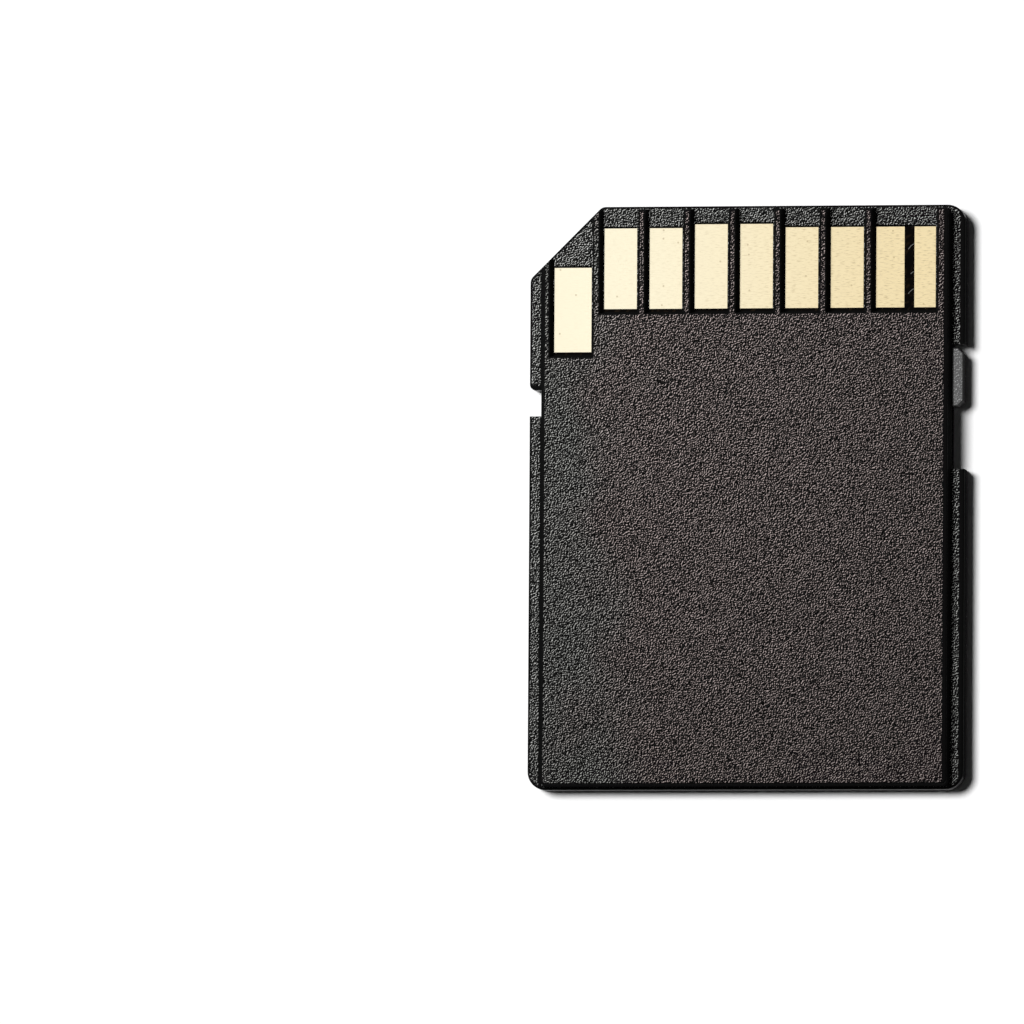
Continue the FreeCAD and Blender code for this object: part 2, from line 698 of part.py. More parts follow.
def make_label(doc):
    """Thin label stuck in its recess, a little below the face around it."""
    body = make_body(doc, "label")
    sketch = make_sketch(body, "label_outline", "Sizes.recess_depth - Sizes.label_thickness")
    draw_label(sketch, "0")
    pad(body, sketch, "Sizes.label_thickness")
    return body


def check(doc, pieces):
    """Stop if any feature failed or any piece is not one sound solid."""
    for item in doc.Objects:
        if {"Invalid", "Error"} & set(item.State):
            raise RuntimeError(f"{item.Name} failed: {item.State}")
    for piece in pieces:
        shape = piece.Shape
        if shape.isNull() or not shape.isValid() or len(shape.Solids) != 1:
            raise RuntimeError(f"{piece.Label} is not one valid solid")


def main():
    """Build every piece of the card and write each to its own file."""
    doc = FreeCAD.newDocument("memory_card")
    make_sheet(doc)
    pieces = [make_front_cover(doc), make_rear_cover(doc), make_circuit_board(doc)]
    pieces += make_contacts(doc)
    memory_lead = f"({CONTROLLER_TAIL} - Sizes.chip_spacing)"
    memory_tail = f"({memory_lead} - Sizes.memory_length)"
    pieces.append(make_chip(doc, "memory_chip", "0", memory_tail, "Sizes.memory_width", "Sizes.memory_length"))
    controller_size = ("Sizes.controller_width", "Sizes.controller_length")
    place = ("-Sizes.controller_shift", CONTROLLER_TAIL)
    pieces.append(make_chip(doc, "controller_chip", *place, *controller_size))
    pieces += make_passives(doc)
    pieces += [make_slider(doc), make_label(doc)]
    doc.recompute()
    check(doc, pieces)
    os.makedirs("parts", exist_ok=True)
    for piece in pieces:
        piece.Shape.exportStep(f"parts/{piece.Label}.step")


main()
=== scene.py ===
"""Looks of a full-size memory card that lies on its label, with the contacts up.

X runs across the card, with the write-protect slider on +X. Y runs along it, with the contact end
on +Y. Z is the thickness, from the label face at 0. All lengths are metres.
"""

import logging
import math
from dataclasses import dataclass
from enum import Enum
from typing import Any, ClassVar, NamedTuple

import bmesh
import bpy
from mathutils import Matrix, Vector


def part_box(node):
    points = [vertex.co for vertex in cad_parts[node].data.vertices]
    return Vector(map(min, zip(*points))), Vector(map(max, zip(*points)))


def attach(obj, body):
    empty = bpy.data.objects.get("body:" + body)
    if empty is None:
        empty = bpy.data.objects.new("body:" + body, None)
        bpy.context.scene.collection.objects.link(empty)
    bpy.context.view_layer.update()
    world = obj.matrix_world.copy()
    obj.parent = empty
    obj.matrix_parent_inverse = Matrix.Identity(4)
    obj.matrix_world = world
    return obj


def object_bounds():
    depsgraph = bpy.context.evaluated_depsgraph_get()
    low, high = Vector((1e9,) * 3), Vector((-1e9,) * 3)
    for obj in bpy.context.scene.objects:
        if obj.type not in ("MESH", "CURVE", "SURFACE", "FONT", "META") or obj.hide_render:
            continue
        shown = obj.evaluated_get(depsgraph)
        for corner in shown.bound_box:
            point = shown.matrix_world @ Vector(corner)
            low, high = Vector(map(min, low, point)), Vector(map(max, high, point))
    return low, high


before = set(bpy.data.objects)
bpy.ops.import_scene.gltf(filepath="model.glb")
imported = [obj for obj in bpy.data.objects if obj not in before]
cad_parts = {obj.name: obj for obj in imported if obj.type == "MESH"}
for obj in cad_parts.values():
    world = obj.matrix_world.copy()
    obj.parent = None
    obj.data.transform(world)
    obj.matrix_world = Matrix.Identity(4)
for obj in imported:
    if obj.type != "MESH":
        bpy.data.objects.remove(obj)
CAD_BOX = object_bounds()

LOG = logging.getLogger("memory_card")
MM = 0.001
Colour = tuple[float, float, float]
Point = tuple[float, float, float]
Span = tuple[float, float]
UP: Point = (0.0, 0.0, 1.0)
ACROSS: Point = (1.0, 0.0, 0.0)


class Blend(NamedTuple):
    """Range in which a mask or a value goes from its start to its end."""

    start: float
    end: float


class Wiring:
    """Adds nodes to one tree and links them as they are made."""

    def __init__(self, tree: bpy.types.NodeTree) -> None:
        """Keep the tree that the nodes go in.

        Args:
            tree: Shader or geometry tree to fill.
        """
        self.tree = tree

    def node(self, kind: str, inputs: dict | None = None, **settings: Any) -> bpy.types.Node:
        """Add one node, set it up and feed its inputs.

        Args:
            kind: Type name of the node.
            inputs: Socket name or number to a value, or to the output socket that feeds it.
            **settings: Properties of the node itself.

        Returns:
            The new node.
        """
        made = self.tree.nodes.new(kind)
        for name, value in settings.items():
            setattr(made, name, value)
        for key, value in (inputs or {}).items():
            self.feed(made.inputs[key], value)
        return made

    def feed(self, socket: bpy.types.NodeSocket, value: Any) -> None:
        """Link an output to a socket, or set the socket's own value.

        Args:
            socket: Input to feed.
            value: Output socket, colour, vector or number.
        """
        if isinstance(value, bpy.types.NodeSocket):
            self.tree.links.new(value, socket)
        elif socket.type == "RGBA" and len(value) == 3:
            socket.default_value = (*value, 1.0)
        else:
            socket.default_value = value

    def math(self, operation: str, *values: Any) -> bpy.types.NodeSocket:
        """Add a number operation.

        Args:
            operation: Name of the operation.
            *values: Numbers or sockets, in the operation's order.

        Returns:
            The result's socket.
        """
        return self.node("ShaderNodeMath", dict(enumerate(values)), operation=operation).outputs[0]

    def ramp(self, value: Any, low: Any, high: Any,
             to_low: Any = 0.0, to_high: Any = 1.0) -> bpy.types.NodeSocket:
        """Map a number smoothly from one range to another.

        Args:
            value: Number to map.
            low: Start of its range.
            high: End of its range.
            to_low: Result at the start.
            to_high: Result at the end.

        Returns:
            The result's socket.
        """
        inputs = {"Value": value, "From Min": low, "From Max": high, "To Min": to_low, "To Max": to_high}
        return self.node("ShaderNodeMapRange", inputs, interpolation_type="SMOOTHSTEP").outputs["Result"]

    def mix(self, share: Any, first: Any, second: Any) -> bpy.types.NodeSocket:
        """Mix two colours.

        Args:
            share: Weight of the second colour.
            first: Colour at 0.
            second: Colour at 1.

        Returns:
            The mixed colour's socket.
        """
        made = self.node("ShaderNodeMix", data_type="RGBA")
        for name, value in (("Factor_Float", share), ("A_Color", first), ("B_Color", second)):
            socket = next(s for s in made.inputs if s.identifier == name)
            self.feed(socket, value)
        return next(s for s in made.outputs if s.identifier == "Result_Color")

    def place(self) -> bpy.types.NodeSocket:
        """Give the surface point in the piece's own coordinates."""
        return self.node("ShaderNodeTexCoord").outputs["Object"]

    def noise(self, place: bpy.types.NodeSocket, patch: float, detail: float = 2.0,
              dimensions: str = "3D") -> bpy.types.NodeSocket:
        """Give soft noise.

        Args:
            place: Point that it is read at.
            patch: Size of its patches.
            detail: Number of finer layers.
            dimensions: Name of the space that it varies in.

        Returns:
            The noise's socket.
        """
        inputs = {"Vector": place, "Scale": 1 / patch, "Detail": detail}
        return self.node("ShaderNodeTexNoise", inputs, noise_dimensions=dimensions).outputs["Fac"]

    def raise_surface(self, shader: bpy.types.Node, depth: float, height: bpy.types.NodeSocket) -> None:
        """Give a shader a bumped surface.

        Args:
            shader: Shader that gets the bumps.
            depth: Depth of the bumps.
            height: Height of the surface point, as a share of the depth.
        """
        bump = self.node("ShaderNodeBump", {"Strength": 1.0, "Distance": depth, "Height": height})
        self.feed(shader.inputs["Normal"], bump.outputs["Normal"])


class Effects:
    """Surface effects that several finishes share, each built once as a node group.

    A wave of the grain is two grains long, and its streaks keep partly to one diagonal. A lift keeps
    weak waves from being evened too far. A speck is full in its core.
    """

    GRAINS_PER_WAVE: float = 2.0
    STREAK_SHARE: float = 0.45
    STREAK_TURN: float = math.radians(135.0)
    WAVE_MIDDLE: float = 0.5
    STRENGTH_LIFT: float = 0.3
    CREST: Blend = Blend(0.60, 0.82)
    SPECK_CORE: float = 0.5

    @staticmethod
    def start(name: str, inputs: dict[str, str], outputs: dict[str, str]) -> tuple[Wiring, Any, Any]:
        """Open a new shader group with its sockets.

        Args:
            name: Name of the group.
            inputs: Socket name to socket type.
            outputs: Socket name to socket type.

        Returns:
            The wiring of the group, its inputs and its outputs.
        """
        group = bpy.data.node_groups.new(name, "ShaderNodeTree")
        for way, sockets in (("INPUT", inputs), ("OUTPUT", outputs)):
            for label, kind in sockets.items():
                group.interface.new_socket(label, in_out=way, socket_type=kind)
        wiring = Wiring(group)
        return wiring, wiring.node("NodeGroupInput").outputs, wiring.node("NodeGroupOutput").inputs

    @classmethod
    def group(cls, name: str) -> bpy.types.NodeTree:
        """Give a shared group by name, building it at its first use.

        Args:
            name: One of mould_grain, turned_faces and specks.

        Returns:
            The group.
        """
        return bpy.data.node_groups.get(name) or getattr(cls, name)()

    @classmethod
    def add(cls, wiring: Wiring, name: str, inputs: dict) -> bpy.types.Node:
        """Place a shared effect in a material.

        Args:
            wiring: Wiring of the material.
            name: Name of the effect.
            inputs: Values or sockets for the effect's inputs.

        Returns:
            The group node.
        """
        node = wiring.node("ShaderNodeGroup", node_tree=cls.group(name))
        for key, value in inputs.items():
            wiring.feed(node.inputs[key], value)
        return node

    @classmethod
    def mould_grain(cls) -> bpy.types.NodeTree:
        """Build the grain of a spark-eroded mould: close bumps in short diagonal streaks, evenly strong.

        Returns:
            The tree.
        """
        inputs = {"Vector": "NodeSocketVector", "Grain": "NodeSocketFloat"}
        outputs = {"Height": "NodeSocketFloat", "Crest": "NodeSocketFloat"}
        wiring, given, made = cls.start("mould_grain", inputs, outputs)
        per_metre = wiring.math("DIVIDE", 1 / cls.GRAINS_PER_WAVE, given["Grain"])
        waves = {"Vector": given["Vector"], "Scale": per_metre, "Frequency": 1.0,
                 "Anisotropy": cls.STREAK_SHARE, "Orientation": cls.STREAK_TURN}
        streaks = wiring.node("ShaderNodeTexGabor", waves, gabor_type="2D").outputs
        swing = wiring.math("SUBTRACT", streaks["Value"], cls.WAVE_MIDDLE)
        strength = wiring.math("ADD", streaks["Intensity"], cls.STRENGTH_LIFT)
        height = wiring.math("ADD", wiring.math("DIVIDE", swing, strength), cls.WAVE_MIDDLE)
        wiring.feed(made["Height"], height)
        wiring.feed(made["Crest"], wiring.ramp(height, *cls.CREST))
        return wiring.tree

    @classmethod
    def turned_faces(cls) -> bpy.types.NodeTree:
        """Build the mask of the faces that look along an axis, either way.

        Returns:
            The tree.
        """
        inputs = {"Axis": "NodeSocketVector", "Blend Start": "NodeSocketFloat",
                  "Blend End": "NodeSocketFloat"}
        wiring, given, made = cls.start("turned_faces", inputs, {"Mask": "NodeSocketFloat"})
        normal = wiring.node("ShaderNodeNewGeometry").outputs["Normal"]
        along = wiring.node("ShaderNodeVectorMath", {0: normal, 1: given["Axis"]}, operation="DOT_PRODUCT")
        square = wiring.math("ABSOLUTE", along.outputs["Value"])
        wiring.feed(made["Mask"], wiring.ramp(square, given["Blend Start"], given["Blend End"]))
        return wiring.tree

    @classmethod
    def specks(cls) -> bpy.types.NodeTree:
        """Build sparse round specks: one in some of the cells of a loose grid.

        Returns:
            The tree.
        """
        inputs = {"Vector": "NodeSocketVector", "Spacing": "NodeSocketFloat", "Radius": "NodeSocketFloat",
                  "Share": "NodeSocketFloat"}
        wiring, given, made = cls.start("specks", inputs, {"Mask": "NodeSocketFloat"})
        per_metre = wiring.math("DIVIDE", 1.0, given["Spacing"])
        cells = wiring.node("ShaderNodeTexVoronoi", {"Vector": given["Vector"], "Scale": per_metre},
                            voronoi_dimensions="2D")
        reach = wiring.math("DIVIDE", given["Radius"], given["Spacing"])
        spot = wiring.ramp(cells.outputs["Distance"], reach, wiring.math("MULTIPLY", reach, cls.SPECK_CORE))
        draw = wiring.node("ShaderNodeSeparateColor", {0: cells.outputs["Color"]}).outputs["Red"]
        chosen = wiring.math("LESS_THAN", draw, given["Share"])
        wiring.feed(made["Mask"], wiring.math("MULTIPLY", spot, chosen))
        return wiring.tree


def new_material(name: str, constants: dict) -> tuple[bpy.types.Material, Wiring, bpy.types.Node]:
    """Start a material from a Principled shader with some sockets set.

    Args:
        name: Name of the material.
        constants: Socket name to the value that holds all over the surface.

    Returns:
        The material, its wiring and its shader.
    """
    material = bpy.data.materials.new(name)
    material.use_nodes = True
    wiring = Wiring(material.node_tree)
    shader = material.node_tree.nodes["Principled BSDF"]
    for key, value in constants.items():
        wiring.feed(shader.inputs[key], value)
    return material, wiring, shader


@dataclass(frozen=True)
class Zone:
    """Upright box in the card's own coordinates."""

    low: Point
    high: Point

    @classmethod
    def between(cls, across: Span, along: Span, level: Span) -> "Zone":
        """Give the box between three pairs of limits, along X, Y and Z."""
        return cls(*zip(across, along, level))

    def mask(self, wiring: Wiring, place: bpy.types.NodeSocket) -> bpy.types.NodeSocket:
        """Give 1 inside the box and 0 outside it.

        Args:
            wiring: Wiring of the material.
            place: Surface point.

        Returns:
            The mask's socket.
        """
        parts = wiring.node("ShaderNodeSeparateXYZ", {0: place}).outputs
        inside = 1.0
        for part, low, high in zip(parts, self.low, self.high):
            inside = wiring.math("MULTIPLY", inside, wiring.math("GREATER_THAN", part, low))
            inside = wiring.math("MULTIPLY", inside, wiring.math("LESS_THAN", part, high))
        return inside


@dataclass(frozen=True)
class PaintedCrestGlint:
    """Colours of the grain's crests over the card, painted pale as glints of the lit grain.

    They are neutral and painted lighter on the rails and the lip, as painted light against the shade that
    falls on that lower level. They are neutral on the cut corner's side of the body, and warmer on the rest
    of it.
    """

    rail: Colour
    cool: Colour
    warm: Colour
    step: float = 1.75 * MM
    start: float = -7.0 * MM
    end: float = -1.0 * MM
    drift: float = 8.0 * MM
    patch: float = 5.0 * MM

    @classmethod
    def plain(cls, grey: float) -> "PaintedCrestGlint":
        """Give crests of one grey all over."""
        colour = (grey, grey, grey)
        return cls(rail=colour, cool=colour, warm=colour)

    def colour(self, wiring: Wiring, place: bpy.types.NodeSocket) -> bpy.types.NodeSocket:
        """Give the colour of a crest at the surface point.

        Args:
            wiring: Wiring of the material.
            place: Surface point.

        Returns:
            The colour's socket.
        """
        parts = wiring.node("ShaderNodeSeparateXYZ", {0: place}).outputs
        drift = wiring.noise(place, self.patch, detail=1.0, dimensions="2D")
        across = wiring.math("MULTIPLY_ADD", drift, self.drift, parts["X"])
        body = wiring.mix(wiring.ramp(across, self.start, self.end), self.cool, self.warm)
        # Painted light: below the step, on the rails and the lip, the crests take the lighter colour.
        return wiring.mix(wiring.math("GREATER_THAN", parts["Z"], self.step), self.rail, body)


@dataclass(frozen=True)
class MouldedPlastic:
    """Black plastic with a grain on its face and polished walls; the grain's crests are painted pale, as
    painted glints.

    The grain stops short of the bare zones. Seen from the side the face is matt, and seen from above
    the walls are.
    """

    name: str
    valley: Colour
    crest: PaintedCrestGlint
    wall: Colour
    roughness: float
    wall_roughness: float
    wall_gloss: float
    grain: float
    depth: float
    bare: tuple[Zone, ...] = ()
    sidelong_roughness: float = 0.75
    GLEAM: ClassVar[float] = 0.02
    FACE: ClassVar[Blend] = Blend(0.95, 0.995)
    LYING: ClassVar[Blend] = Blend(0.2, 0.5)
    DRAFTED: ClassVar[Blend] = Blend(0.03, 0.12)
    FLANK: ClassVar[Blend] = Blend(0.9, 0.98)
    FACE_MATT: ClassVar[Blend] = Blend(0.3, 0.8)
    SLOPE_DULL: ClassVar[Blend] = Blend(0.4, 0.7)
    FLANK_DULL: ClassVar[Blend] = Blend(0.7, 0.85)

    def material(self) -> bpy.types.Material:
        """Build the material of this plastic.

        Returns:
            The material.
        """
        constants = {"Specular IOR Level": self.GLEAM, "Coat Roughness": self.wall_roughness}
        material, wiring, shader = new_material(self.name, constants)
        place = wiring.place()
        face = self.faces(wiring, UP, self.FACE)
        lying = self.faces(wiring, UP, self.LYING)
        drafted = self.faces(wiring, UP, self.DRAFTED)
        flank = self.faces(wiring, ACROSS, self.FLANK)
        for zone in self.bare:
            face = wiring.math("SUBTRACT", face, wiring.math("MULTIPLY", face, zone.mask(wiring, place)))
        grain = Effects.add(wiring, "mould_grain", {"Vector": place, "Grain": self.grain})
        # Painted highlight: the crests of the grain on the faces take pale colours that stand in for the
        # glints of the lit grain.
        glint_share_or_dressed_mesh = wiring.math("MULTIPLY", grain.outputs["Crest"], face)
        grain_with_painted_glint = wiring.mix(glint_share_or_dressed_mesh, self.valley, self.crest.colour(wiring, place))
        wiring.feed(shader.inputs["Base Color"], wiring.mix(face, self.wall, grain_with_painted_glint))
        sidelong = wiring.node("ShaderNodeLayerWeight").outputs["Facing"]
        matt = wiring.ramp(sidelong, *self.FACE_MATT, self.roughness, self.sidelong_roughness)
        wiring.feed(shader.inputs["Roughness"], wiring.ramp(face, 0.0, 1.0, 1.0, matt))
        slope_dull = wiring.math("MULTIPLY", wiring.ramp(sidelong, *self.SLOPE_DULL), drafted)
        flank_dull = wiring.math("MULTIPLY", wiring.ramp(sidelong, *self.FLANK_DULL), flank)
        dull = wiring.math("MAXIMUM", lying, wiring.math("MAXIMUM", slope_dull, flank_dull))
        wiring.feed(shader.inputs["Coat Weight"], wiring.ramp(dull, 0.0, 1.0, self.wall_gloss, 0.0))
        wiring.raise_surface(shader, self.depth, wiring.math("MULTIPLY", grain.outputs["Height"], face))
        return material

    @staticmethod
    def faces(wiring: Wiring, axis: Point, blend: Blend) -> bpy.types.NodeSocket:
        """Give the mask of the faces that look along an axis.

        Args:
            wiring: Wiring of the material.
            axis: Direction, either way.
            blend: Share of the normal along the axis where the mask starts and where it is full.

        Returns:
            The mask's socket.
        """
        inputs = {"Axis": axis, "Blend Start": blend.start, "Blend End": blend.end}
        return Effects.add(wiring, "turned_faces", inputs).outputs["Mask"]


@dataclass(frozen=True)
class GoldPlate:
    """Thin gold plating with fine brush lines across the contact and a few dark specks, paled by a painted
    highlight towards -X.
    """

    name: str
    pale: Colour
    deep: Colour
    stain: Colour
    roughness: float
    line_length: float
    line_width: float
    depth: float
    span: float
    faintest: float = 0.03
    strongest: float = 0.42
    polish_swing: float = 0.006
    speck_spacing: float = 0.8 * MM
    speck_radius: float = 0.07 * MM
    speck_share: float = 0.22
    speck_shade: float = 0.4
    LINED: ClassVar[Blend] = Blend(0.5, 0.72)
    POLISHED: ClassVar[Blend] = Blend(0.3, 0.7)

    def material(self) -> bpy.types.Material:
        """Build the material of the plating, paled by a painted highlight towards -X, with lines that grow
        stronger towards +X.

        Returns:
            The material.
        """
        material, wiring, shader = new_material(self.name, {"Metallic": 1.0})
        place = wiring.place()
        stretch = (1 / self.line_length, 1 / self.line_width, 1 / self.line_width)
        along = wiring.node("ShaderNodeMapping", {"Vector": place, "Scale": stretch}).outputs["Vector"]
        lines = wiring.noise(along, 1.0, detail=3.0)
        sizes = {"Spacing": self.speck_spacing, "Radius": self.speck_radius, "Share": self.speck_share}
        specks = Effects.add(wiring, "specks", {"Vector": place, **sizes}).outputs["Mask"]
        across = wiring.node("ShaderNodeSeparateXYZ", {0: place}).outputs["X"]
        # Painted highlight: the gold goes from pale at -X to deep at +X, standing in for the light's
        # reflection falling off across the card; the brush lines are fainter under it.
        gold_with_painted_highlight = wiring.mix(wiring.ramp(across, -self.span, self.span), self.pale, self.deep)
        strength = wiring.ramp(across, -self.span, self.span, self.faintest, self.strongest)
        lined = wiring.math("MULTIPLY", wiring.ramp(lines, *self.LINED), strength)
        specked = wiring.math("MULTIPLY", specks, self.speck_shade)
        shade = wiring.mix(wiring.math("MAXIMUM", lined, specked), gold_with_painted_highlight, self.stain)
        wiring.feed(shader.inputs["Base Color"], shade)
        smooth, dull = self.roughness - self.polish_swing, self.roughness + self.polish_swing
        wiring.feed(shader.inputs["Roughness"], wiring.ramp(lines, *self.POLISHED, smooth, dull))
        wiring.raise_surface(shader, self.depth, lines)
        return material


@dataclass(frozen=True)
class MattCoat:
    """Dark matt surface with a faint grain: lacquer over glass cloth, or moulding resin."""

    name: str
    colour: Colour
    tint: Colour
    roughness: float
    swing: float
    grain: float
    depth: float
    gleam: float

    def material(self) -> bpy.types.Material:
        """Build the material of the surface.

        Returns:
            The material.
        """
        material, wiring, shader = new_material(self.name, {"Specular IOR Level": self.gleam})
        grain = Effects.add(wiring, "mould_grain", {"Vector": wiring.place(), "Grain": self.grain})
        wiring.feed(shader.inputs["Base Color"], wiring.mix(grain.outputs["Crest"], self.colour, self.tint))
        height = grain.outputs["Height"]
        smooth, dull = self.roughness - self.swing, self.roughness + self.swing
        wiring.feed(shader.inputs["Roughness"], wiring.ramp(height, 0.0, 1.0, smooth, dull))
        wiring.raise_surface(shader, self.depth, height)
        return material


@dataclass(frozen=True)
class CappedCeramic:
    """Fired ceramic block with tinned ends, lying along X."""

    name: str
    ceramic: Colour
    fleck: Colour
    tin: Colour
    cap: float
    grain: float
    smooth: float = 0.3
    dull: float = 0.6
    cap_edge: float = 0.01 * MM
    GLEAM: ClassVar[float] = 0.4

    def material(self, node: str) -> bpy.types.Material:
        """Build the material for one part of the board.

        Args:
            node: Frame node whose ends are tinned.

        Returns:
            The material.
        """
        low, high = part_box(node)
        middle = (low + high) / 2
        bare = (high.x - low.x) / 2 - self.cap
        material, wiring, shader = new_material(f"{self.name}_{node}", {"Specular IOR Level": self.GLEAM})
        centred = wiring.node("ShaderNodeMapping", {"Vector": wiring.place(), "Location": tuple(-middle)})
        along = wiring.node("ShaderNodeSeparateXYZ", {0: centred.outputs["Vector"]}).outputs["X"]
        capped = wiring.ramp(wiring.math("ABSOLUTE", along), bare - self.cap_edge, bare)
        grain = Effects.add(wiring, "mould_grain", {"Vector": centred.outputs["Vector"], "Grain": self.grain})
        fired = wiring.mix(grain.outputs["Crest"], self.ceramic, self.fleck)
        wiring.feed(shader.inputs["Base Color"], wiring.mix(capped, fired, self.tin))
        wiring.feed(shader.inputs["Metallic"], capped)
        rough = wiring.ramp(grain.outputs["Height"], 0.0, 1.0, self.smooth, self.dull)
        wiring.feed(shader.inputs["Roughness"], rough)
        return material


@dataclass(frozen=True)
class LabelFilm:
    """Glossy printed film that fades from violet to blue across soft diagonal waves."""

    name: str
    violet: Colour
    plum: Colour
    blue: Colour
    wave: float
    reach: float
    turn: float = math.radians(38.0)
    sway: float = 3.0
    ripple: float = 0.6
    band_shade: float = 0.35
    fibre: float = 0.3 * MM
    depth: float = 0.002 * MM
    smooth: float = 0.28
    dull: float = 0.40
    GLEAM: ClassVar[float] = 0.5
    BAND: ClassVar[Blend] = Blend(0.55, 1.0)
    FIBROUS: ClassVar[Blend] = Blend(0.2, 0.8)

    def material(self) -> bpy.types.Material:
        """Build the material of the film.

        Returns:
            The material.
        """
        material, wiring, shader = new_material(self.name, {"Specular IOR Level": self.GLEAM})
        place = wiring.place()
        turning = {"Vector": place, "Rotation": (0.0, 0.0, self.turn)}
        turned = wiring.node("ShaderNodeMapping", turning).outputs["Vector"]
        along = wiring.node("ShaderNodeSeparateXYZ", {0: turned}).outputs["Y"]
        upper = wiring.mix(wiring.ramp(along, 0.0, self.reach), self.plum, self.violet)
        faded = wiring.mix(wiring.ramp(along, 0.0, -self.reach), upper, self.blue)
        bands = {"Vector": turned, "Scale": 1 / self.wave, "Distortion": self.sway, "Detail": 1.0,
                 "Detail Scale": self.ripple}
        waves = wiring.node("ShaderNodeTexWave", bands, bands_direction="Y", wave_profile="SIN")
        band = wiring.math("MULTIPLY", wiring.ramp(waves.outputs["Fac"], *self.BAND), self.band_shade)
        wiring.feed(shader.inputs["Base Color"], wiring.mix(band, faded, self.violet))
        fibre = wiring.noise(place, self.fibre)
        wiring.feed(shader.inputs["Roughness"], wiring.ramp(fibre, *self.FIBROUS, self.smooth, self.dull))
        wiring.raise_surface(shader, self.depth, fibre)
        return material


MOTTLE = Blend(0.3, 0.7)
INK_PATCH = 0.15 * MM
INK_THINNED = 0.82
INK_GLEAM = 0.4
INK_ROUGHNESS = Blend(0.35, 0.5)


class Ink(Enum):
    """Colours of the shapes that are printed on the label."""

    RED = (0.58, 0.023, 0.021)
    WHITE = (0.78, 0.77, 0.76)

    def material(self) -> bpy.types.Material:
        """Build the material of one ink: a solid field with the faint mottle of a roller.

        Returns:
            The material.
        """
        material, wiring, shader = new_material(f"ink_{self.name.lower()}", {"Specular IOR Level": INK_GLEAM})
        mottle = wiring.noise(wiring.place(), INK_PATCH)
        thin = tuple(INK_THINNED * part for part in self.value)
        wiring.feed(shader.inputs["Base Color"], wiring.mix(wiring.ramp(mottle, *MOTTLE), thin, self.value))
        wiring.feed(shader.inputs["Roughness"], wiring.ramp(mottle, *MOTTLE, *INK_ROUGHNESS))
        return material


@dataclass(frozen=True)
class PaperLint:
    """Pale fibre with a faint change of shade along it."""

    name: str
    pale: Colour
    grey: Colour
    patch: float = 0.1 * MM
    smooth: float = 0.6
    dull: float = 0.8
    GLEAM: ClassVar[float] = 0.2

    def material(self) -> bpy.types.Material:
        """Build the material of the fibre.

        Returns:
            The material.
        """
        material, wiring, shader = new_material(self.name, {"Specular IOR Level": self.GLEAM})
        shade = wiring.noise(wiring.place(), self.patch)
        paper = wiring.mix(wiring.ramp(shade, *MOTTLE), self.grey, self.pale)
        wiring.feed(shader.inputs["Base Color"], paper)
        wiring.feed(shader.inputs["Roughness"], wiring.ramp(shade, *MOTTLE, self.smooth, self.dull))
        return material


